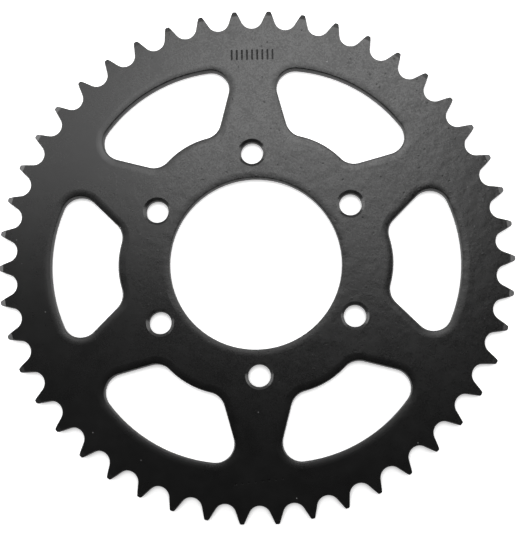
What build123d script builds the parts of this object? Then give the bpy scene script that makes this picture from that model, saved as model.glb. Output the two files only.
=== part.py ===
from build123d import *
from math import pi, sin
import os

# Rear sprocket of a motorcycle's final drive: one plate, blanked from steel sheet, with turned
# tooth tips, a machined bore and drilled bolt holes. Millimetres. The plate lies on its mounting
# face, the plane z = 0, and the bore's axis is +Z. +X runs through the middle of one tooth and
# of one lightening window.

# Chain: pitch, roller and inner width of the 520 size
CHAIN_PITCH = 15.875
ROLLER_DIAMETER = 10.16
CHAIN_INNER_WIDTH = 6.35

# Teeth
TOOTH_COUNT = 46
TIP_RADIUS = 119.9
SEAT_RADIUS = 0.515 * ROLLER_DIAMETER
FLANK_ANGLE = 25.3
TIP_CORNER_RADIUS = 0.7
TIP_BEVEL_WIDTH = 2.4
TIP_BEVEL_DEPTH = 1.3
EDGE_BREAK = 0.2

# Plate: the share of the chain's inner width that a sprocket of this chain takes up
THICKNESS = 0.93 * CHAIN_INNER_WIDTH

# Centring bore, which sits on the hub's spigot
BORE_RADIUS = 40.0
BORE_BACK_CHAMFER = 0.5
BORE_ROLL_WIDTH = 1.9
BORE_ROLL_DEPTH = 0.22
BORE_ROLL_BLEND = 22.0
BORE_CORNER_RADIUS = 0.5

# Bolt circle: clearance holes for M10, turned a little against the windows
BOLT_COUNT = 6
BOLT_CIRCLE_RADIUS = 52.0
BOLT_HOLE_RADIUS = 5.25
COUNTERSINK_WIDTH = 1.3
COUNTERSINK_DEPTH = 1.05
BOLT_BACK_CHAMFER = 0.4
BOLT_START_ANGLE = 31.0

# Lightening windows: each is a wedge with straight sides, closed outside by a flat arc and inside
# by the arc of the hub, which bulges into it
WINDOW_COUNT = 6
WINDOW_APEX = 45.0
WINDOW_REACH = 60.0
WINDOW_OUTER_EDGE = 95.3
WINDOW_OUTER_ARC = 70.0
WINDOW_INNER_EDGE = 63.8
WINDOW_INNER_ARC = 37.8
WINDOW_CORNER_RADIUS = 8.75
WINDOW_ROLL_WIDTH = 2.1
WINDOW_ROLL_DEPTH = 0.36
WINDOW_ROLL_BLEND = 16.0
WINDOW_RIM_CORNER_RADIUS = 0.7

# How near an edge has to be to a height to count as being at it
HEIGHT_MARGIN = 0.001

# Stamped marks in the outer face: a row of bars above the bore and a row of pips below it
MARK_TAPER = 35
BAR_COUNT = 9
BAR_SPACING = 2.4
BAR_WIDTH = 0.8
BAR_DEPTH = 0.5
BAR_HEIGHT = 5.0
BAR_ROW_RADIUS = 98.6
PIP_COUNT = 8
PIP_SPACING = 3.1
PIP_RADIUS = 0.55
PIP_DEPTH = 0.2
PIP_ROW_RADIUS = 100.3
PIP_ROW_TILT = 6.0

half_tooth = 180 / TOOTH_COUNT
pitch_radius = CHAIN_PITCH / sin(pi / TOOTH_COUNT) / 2
root_radius = pitch_radius - ROLLER_DIAMETER / 2
bevel_radius = TIP_RADIUS - TIP_BEVEL_WIDTH
outer_plane = Plane.XY.offset(THICKNESS)

# One gap between two teeth, with its middle on +X: a round seat for the chain's roller, and
# straight flanks that run out past the tips
with BuildSketch() as tooth_gap:
    with BuildLine():
        seat = CenterArc(
            (root_radius + SEAT_RADIUS, 0), SEAT_RADIUS, 90 + FLANK_ANGLE, 180 - 2 * FLANK_ANGLE
        )
        left_flank = PolarLine(seat @ 0, ROLLER_DIAMETER, FLANK_ANGLE)
        right_flank = PolarLine(seat @ 1, ROLLER_DIAMETER, -FLANK_ANGLE)
        Line(left_flank @ 1, right_flank @ 1)
    make_face()

# Outline of the toothed plate, with a tooth on +X
with BuildSketch() as toothed_outline:
    with BuildLine():
        CenterArc((0, 0), TIP_RADIUS, half_tooth, 360)
    make_face()
    with PolarLocations(0, TOOTH_COUNT, start_angle=half_tooth):
        add(tooth_gap.sketch, mode=Mode.SUBTRACT)
    tip_corners = toothed_outline.vertices().filter_by(
        lambda corner: Vector(corner).length > bevel_radius
    )
    fillet(tip_corners, TIP_CORNER_RADIUS)

# One lightening window, with its middle on +X
with BuildSketch() as window:
    Polygon(
        (WINDOW_APEX, 0),
        (WINDOW_APEX + WINDOW_REACH, -WINDOW_REACH),
        (WINDOW_APEX + WINDOW_REACH, WINDOW_REACH),
        align=None,
    )
    with Locations((WINDOW_OUTER_EDGE - WINDOW_OUTER_ARC, 0)):
        Circle(WINDOW_OUTER_ARC, mode=Mode.INTERSECT)
    with Locations((WINDOW_INNER_EDGE - WINDOW_INNER_ARC, 0)):
        Circle(WINDOW_INNER_ARC, mode=Mode.SUBTRACT)
    fillet(window.vertices(), WINDOW_CORNER_RADIUS)


def edges_at(edges, height):
    return edges.filter_by_position(Axis.Z, height - HEIGHT_MARGIN, height + HEIGHT_MARGIN)


def roll_rims(rims, width, depth, blend, corner):
    """Bend the outer face down towards an opening, as its punch does.

    The bend is a shallow slope of this width and depth. It blends into the face over a large
    radius and turns into the opening's wall over a small one.
    """
    outer_face = sprocket_plate.faces().sort_by(Axis.Z)[-1]
    chamfer(rims, width, depth, reference=outer_face)
    slope_edges = sprocket_plate.edges(Select.LAST)
    fillet(edges_at(slope_edges, THICKNESS), blend)
    fillet(edges_at(slope_edges, THICKNESS - depth), corner)


with BuildPart() as sprocket_plate:
    # Toothed blank, with its edges broken
    add(toothed_outline.sketch)
    extrude(amount=THICKNESS)
    rims = sprocket_plate.faces().filter_by(Axis.Z).edges()
    chamfer(rims, EDGE_BREAK)

    # Tooth tips, turned to a bevel on both faces so that they enter the chain
    with BuildSketch(Plane.XZ):
        for face_height, inward in ((0, 1), (THICKNESS, -1)):
            Polygon(
                (bevel_radius, face_height),
                (bevel_radius + 2 * TIP_BEVEL_WIDTH, face_height),
                (bevel_radius + 2 * TIP_BEVEL_WIDTH, face_height + 2 * inward * TIP_BEVEL_DEPTH),
                align=None,
            )
    revolve(axis=Axis.Z, mode=Mode.SUBTRACT)

    # Lightening windows
    with BuildSketch():
        with PolarLocations(0, WINDOW_COUNT):
            add(window.sketch)
    extrude(amount=THICKNESS, mode=Mode.SUBTRACT)
    window_rims = sprocket_plate.faces().sort_by(Axis.Z)[-1].inner_wires().edges()
    roll_rims(
        window_rims,
        WINDOW_ROLL_WIDTH,
        WINDOW_ROLL_DEPTH,
        WINDOW_ROLL_BLEND,
        WINDOW_RIM_CORNER_RADIUS,
    )

    # Bore, chamfered on the back
    with Locations(outer_plane):
        Hole(BORE_RADIUS)
    bore_rims = sprocket_plate.edges(Select.LAST).filter_by(GeomType.CIRCLE).group_by(Axis.Z)
    chamfer(bore_rims[0], BORE_BACK_CHAMFER)
    roll_rims(
        bore_rims[-1], BORE_ROLL_WIDTH, BORE_ROLL_DEPTH, BORE_ROLL_BLEND, BORE_CORNER_RADIUS
    )

    # Bolt holes, countersunk in the outer face
    with Locations(outer_plane):
        with PolarLocations(BOLT_CIRCLE_RADIUS, BOLT_COUNT, start_angle=BOLT_START_ANGLE):
            Hole(BOLT_HOLE_RADIUS)
    bolt_rims = sprocket_plate.edges(Select.LAST).filter_by(GeomType.CIRCLE).group_by(Axis.Z)
    chamfer(bolt_rims[0], BOLT_BACK_CHAMFER)
    outer_face = sprocket_plate.faces().sort_by(Axis.Z)[-1]
    chamfer(bolt_rims[-1], COUNTERSINK_WIDTH, COUNTERSINK_DEPTH, reference=outer_face)

    # Stamped marks, with sloping walls
    with BuildSketch(outer_plane):
        with Locations((0, BAR_ROW_RADIUS)):
            with GridLocations(BAR_SPACING, 0, BAR_COUNT, 1):
                SlotOverall(BAR_HEIGHT, BAR_WIDTH, rotation=90)
    extrude(amount=-BAR_DEPTH, taper=MARK_TAPER, mode=Mode.SUBTRACT)
    with BuildSketch(outer_plane):
        with Locations(Location((0, -PIP_ROW_RADIUS), PIP_ROW_TILT)):
            with GridLocations(PIP_SPACING, 0, PIP_COUNT, 1):
                Circle(PIP_RADIUS)
    extrude(amount=-PIP_DEPTH, taper=MARK_TAPER, mode=Mode.SUBTRACT)

sprocket_plate.part.label = "sprocket_plate"
os.makedirs("parts", exist_ok=True)
export_step(sprocket_plate.part, "parts/sprocket_plate.step")
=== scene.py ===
from math import pi, radians

import bpy
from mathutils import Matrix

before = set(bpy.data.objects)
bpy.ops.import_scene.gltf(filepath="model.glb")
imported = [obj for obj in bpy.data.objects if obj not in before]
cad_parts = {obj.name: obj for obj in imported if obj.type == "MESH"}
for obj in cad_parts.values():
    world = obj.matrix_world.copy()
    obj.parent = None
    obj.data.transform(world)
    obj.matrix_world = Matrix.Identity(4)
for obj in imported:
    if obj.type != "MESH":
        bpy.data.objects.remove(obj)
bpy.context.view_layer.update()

# Camera: nearly overhead, a little towards +X and -Y of the plate's middle, with a long lens.
# Its place is in metres, its turn in degrees and its lens in millimetres.
CAMERA_AT = (0.0247, -0.0864, 0.7327)
CAMERA_TURN = (6.58, 1.95, -0.947)
CAMERA_LENS = 106.5

# The floor glows softly, as an overexposed white table does, with a painted contact shadow:
# its glow darkens where something stands closer to it than CONTACT_REACH
FLOOR_SIZE = 6
FLOOR_GLOW = 0.92
CONTACT_REACH = 0.002

# Finish: sizes of its features, from large to small, in metres
BLOTCH_SIZE = 0.030
MOTTLE_SIZE = 0.0070
PEEL_SIZE = 0.0055
PORE_SIZE = 0.0024
GRAIN_SIZE = 0.0009

# Finish: spacing and radius of its scattered dots, and the share of places that have one
NIB_DOTS = (0.0036, 0.00050, 0.45)
PIT_DOTS = (0.0045, 0.00055, 0.45)
SPECK_DOTS = (0.0070, 0.00036, 0.5)

# Finish: depths of its relief, in metres
PEEL_DEPTH = 0.000080
PORE_DEPTH = 0.000026
GRAIN_DEPTH = 0.000016
DOT_DEPTH = 0.000050
SCRATCH_DEPTH = 0.0000080
TEAR_DEPTH = 0.00006

# Scratches run along Y, and tear lines run through the thickness. The three scales are
# features per metre along X, Y and Z. The turn, in degrees, only picks another part of the noise.
SCRATCH_A_SCALE, SCRATCH_A_TURN = (1500, 45, 1), (0, 0, 24)
SCRATCH_B_SCALE, SCRATCH_B_TURN = (1300, 30, 1), (0, 0, -61)
TEAR_SCALE = (1800, 1800, 160)

# Noise is mostly between these two values, so they are the ends of most ramps
NOISE_RANGE = (0.3, 0.7)


def make_camera():
    data = bpy.data.cameras.new("camera")
    data.lens = CAMERA_LENS
    camera = bpy.data.objects.new("camera", data)
    camera.location = CAMERA_AT
    camera.rotation_euler = [radians(turn) for turn in CAMERA_TURN]
    bpy.context.scene.collection.objects.link(camera)
    bpy.context.scene.camera = camera


def softbox(name, zenith, azimuth, distance, size, brightness):
    """A rectangular light that faces the middle of the plate.

    The zenith angle and the azimuth, in degrees, and the distance say where it stands. Its size
    is its width and its height, and its brightness is what a mirror would show of it.
    """
    data = bpy.data.lights.new(name, "AREA")
    data.shape = "RECTANGLE"
    data.size, data.size_y = size
    data.energy = brightness * pi * size[0] * size[1]
    light = bpy.data.objects.new(name, data)
    light.rotation_euler = (radians(zenith), 0, radians(azimuth + 90))
    light.location = light.rotation_euler.to_matrix().col[2] * distance
    light.visible_camera = False
    bpy.context.scene.collection.objects.link(light)


def make_world():
    """A white surround that is seen behind the floor, but doesn't light the plate."""
    world = bpy.data.worlds.new("studio")
    world.use_nodes = True
    background = world.node_tree.nodes["Background"]
    background.inputs["Color"].default_value = (1, 1, 1, 1)
    world.cycles_visibility.diffuse = False
    world.cycles_visibility.glossy = False
    bpy.context.scene.world = world


class Nodes:
    """A material's node tree, with one short method for each kind of node that is used."""

    def __init__(self, name):
        self.material = bpy.data.materials.new(name)
        self.material.use_nodes = True
        self.tree = self.material.node_tree
        self.shader = self.tree.nodes["Principled BSDF"]

    def add(self, kind, **settings):
        node = self.tree.nodes.new(kind)
        for key, value in settings.items():
            setattr(node, key, value)
        return node

    def feed(self, socket, value):
        if isinstance(value, bpy.types.NodeSocket):
            self.tree.links.new(value, socket)
        else:
            socket.default_value = value

    def place(self):
        return self.add("ShaderNodeTexCoord").outputs["Object"]

    def stretched(self, scale, turn=(0, 0, 0)):
        """Object coordinates, scaled and then turned."""
        mapping = self.add("ShaderNodeMapping")
        self.feed(mapping.inputs["Vector"], self.place())
        mapping.inputs["Rotation"].default_value = [radians(angle) for angle in turn]
        mapping.inputs["Scale"].default_value = scale
        return mapping.outputs["Vector"]

    def noise(self, size, detail=2.0, roughness=0.5, place=None):
        """Soft noise from 0 to 1 with features of this size in metres."""
        node = self.add("ShaderNodeTexNoise")
        self.feed(node.inputs["Vector"], place or self.place())
        node.inputs["Scale"].default_value = 1 / size
        node.inputs["Detail"].default_value = detail
        node.inputs["Roughness"].default_value = roughness
        return node.outputs["Fac"]

    def dots(self, spacing, radius, share):
        """Scattered round dots, 1 in the middle and 0 outside, at this share of the places."""
        node = self.add("ShaderNodeTexVoronoi")
        self.feed(node.inputs["Vector"], self.place())
        node.inputs["Scale"].default_value = 1 / spacing
        chance = self.add("ShaderNodeSeparateColor")
        self.feed(chance.inputs[0], node.outputs["Color"])
        chosen = self.math("LESS_THAN", chance.outputs["Red"], share)
        dot = self.ramp(node.outputs["Distance"], (radius / spacing, 0.0), (0.0, 1.0))
        return self.math("MULTIPLY", dot, chosen)

    def math(self, operation, first, second=0.0):
        node = self.add("ShaderNodeMath", operation=operation)
        self.feed(node.inputs[0], first)
        self.feed(node.inputs[1], second)
        return node.outputs[0]

    def ramp(self, value, old, new):
        """The value, carried from the old range to the new one and held inside it."""
        node = self.add("ShaderNodeMapRange")
        self.feed(node.inputs["Value"], value)
        node.inputs["From Min"].default_value, node.inputs["From Max"].default_value = old
        for socket, limit in zip(("To Min", "To Max"), new):
            self.feed(node.inputs[socket], limit)
        return node.outputs["Result"]

    def grey(self, value):
        node = self.add("ShaderNodeCombineColor")
        for channel in node.inputs[:3]:
            self.feed(channel, value)
        return node.outputs[0]

    def bump(self, height, depth, normal=None, sunk=False):
        """A bump of this depth in metres, or a hollow if it is sunk."""
        node = self.add("ShaderNodeBump", invert=sunk)
        node.inputs["Distance"].default_value = depth
        self.feed(node.inputs["Height"], height)
        if normal:
            self.feed(node.inputs["Normal"], normal)
        return node.outputs["Normal"]


def make_floor():
    bpy.ops.mesh.primitive_plane_add(size=FLOOR_SIZE, location=(0, 0, 0))
    floor = bpy.context.object
    floor.name = "floor"
    nodes = Nodes("pale_floor")
    nodes.shader.inputs["Base Color"].default_value = (0.9, 0.9, 0.9, 1)
    nodes.shader.inputs["Roughness"].default_value = 0.8
    nodes.shader.inputs["Emission Color"].default_value = (1, 1, 1, 1)
    # Painted contact shadow: ambient occlusion within CONTACT_REACH dims the floor's glow
    painted_contact_shadow = nodes.add("ShaderNodeAmbientOcclusion", samples=16)
    painted_contact_shadow.inputs["Distance"].default_value = CONTACT_REACH
    glow_with_painted_shadow = nodes.math("MULTIPLY", painted_contact_shadow.outputs["AO"], FLOOR_GLOW)
    nodes.feed(nodes.shader.inputs["Emission Strength"], glow_with_painted_shadow)
    floor.data.materials.append(nodes.material)


def wall_share(nodes):
    """0 on the faces, where the surface lies flat, and 1 on the walls, where it stands upright."""
    geometry = nodes.add("ShaderNodeNewGeometry")
    turned = nodes.add("ShaderNodeVectorTransform", vector_type="NORMAL")
    turned.convert_from, turned.convert_to = "WORLD", "OBJECT"
    nodes.feed(turned.inputs[0], geometry.outputs["Normal"])
    parts = nodes.add("ShaderNodeSeparateXYZ")
    nodes.feed(parts.inputs[0], turned.outputs[0])
    tilt = nodes.math("ABSOLUTE", parts.outputs["Z"])
    return nodes.ramp(tilt, (0.45, 0.15), (0.0, 1.0))


def sheet_texture(nodes, spot):
    """How strong the sheet's texture is: weaker towards -X and -Y."""
    across = nodes.ramp(spot.outputs["X"], (-0.080, 0.010), (0.15, 1.1))
    along = nodes.ramp(spot.outputs["Y"], (-0.095, 0.040), (0.10, 1.7))
    return nodes.math("MULTIPLY", across, along)


def relief(nodes, grain, strength, wall):
    """Sheet grain, orange peel, nibs, pits, scratches and, on the walls, tear lines."""
    scratch_a = nodes.noise(1.0, 2.0, 0.6, nodes.stretched(SCRATCH_A_SCALE, SCRATCH_A_TURN))
    scratch_b = nodes.noise(1.0, 2.0, 0.6, nodes.stretched(SCRATCH_B_SCALE, SCRATCH_B_TURN))
    lines = nodes.ramp(nodes.math("MAXIMUM", scratch_a, scratch_b), (0.66, 0.78), (0.0, 1.0))
    torn = nodes.noise(1.0, 3.0, 0.6, nodes.stretched(TEAR_SCALE))

    def on_sheet(height):
        return nodes.math("MULTIPLY", height, strength)

    normal = nodes.bump(on_sheet(nodes.noise(PEEL_SIZE, 2.0)), PEEL_DEPTH)
    normal = nodes.bump(on_sheet(nodes.noise(PORE_SIZE, 2.0)), PORE_DEPTH, normal)
    normal = nodes.bump(on_sheet(grain), GRAIN_DEPTH, normal)
    normal = nodes.bump(on_sheet(nodes.dots(*NIB_DOTS)), DOT_DEPTH, normal)
    normal = nodes.bump(on_sheet(nodes.dots(*PIT_DOTS)), DOT_DEPTH, normal, sunk=True)
    normal = nodes.bump(lines, SCRATCH_DEPTH, normal, sunk=True)
    return nodes.bump(nodes.math("MULTIPLY", torn, wall), TEAR_DEPTH, normal)


def black_finish():
    """Thin satin black coating over blanked sheet steel."""
    nodes = Nodes("black_finish")
    shader = nodes.shader
    spot = nodes.add("ShaderNodeSeparateXYZ")
    nodes.feed(spot.inputs[0], nodes.place())
    wall = wall_share(nodes)
    strength = sheet_texture(nodes, spot)
    blotch = nodes.noise(BLOTCH_SIZE, 3.0)
    mottle = nodes.noise(MOTTLE_SIZE, 4.0, 0.55)
    grain = nodes.noise(GRAIN_SIZE, 3.0, 0.75)

    # Colour: nearly black, a little uneven, with pale specks where the coating has gone
    tone = nodes.ramp(mottle, NOISE_RANGE, (0.0045, 0.0075))
    worn = nodes.ramp(blotch, (0.48, 0.56), (0.0, 0.40))
    bare = nodes.math("MULTIPLY", nodes.dots(*SPECK_DOTS), worn)
    nodes.feed(shader.inputs["Base Color"], nodes.grey(nodes.math("ADD", tone, bare)))

    # Gloss: satin faces with cloudy patches, and walls that are duller, most of all at the top
    gloss = nodes.ramp(blotch, NOISE_RANGE, (0.265, 0.295))
    cloud = nodes.math(
        "ADD",
        nodes.ramp(grain, NOISE_RANGE, (-0.052, 0.052)),
        nodes.ramp(mottle, NOISE_RANGE, (-0.018, 0.018)),
    )
    gloss = nodes.math("ADD", gloss, nodes.math("MULTIPLY", cloud, strength))
    duller = nodes.ramp(spot.outputs["Z"], (0.0008, 0.0050), (0.22, 0.62))
    gloss = nodes.math("ADD", gloss, nodes.math("MULTIPLY", wall, duller))
    nodes.feed(shader.inputs["Roughness"], gloss)

    nodes.feed(shader.inputs["Normal"], relief(nodes, grain, strength, wall))
    return nodes.material


make_camera()
make_world()
make_floor()
softbox("key left", 26, 104, 0.43, (0.40, 0.14), 2.15)
softbox("key right", 24, 78, 0.42, (0.24, 0.26), 2.8)
softbox("left", 66, 163, 0.45, (0.46, 0.25), 4.4)
softbox("right", 66, 18, 0.43, (0.42, 0.31), 3.2)
softbox("back high", 66, 101, 0.45, (1.0, 0.10), 1.3)
softbox("back low", 80, 91, 0.43, (0.70, 0.30), 0.75)
for azimuth in (220, 270, 320):
    softbox("dim {}".format(azimuth), 78, azimuth, 0.90, (0.70, 0.34), 0.5)

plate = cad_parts["sprocket_plate"]
plate.data.materials.clear()
plate.data.materials.append(black_finish())

bpy.context.scene.view_settings.view_transform = "Standard"
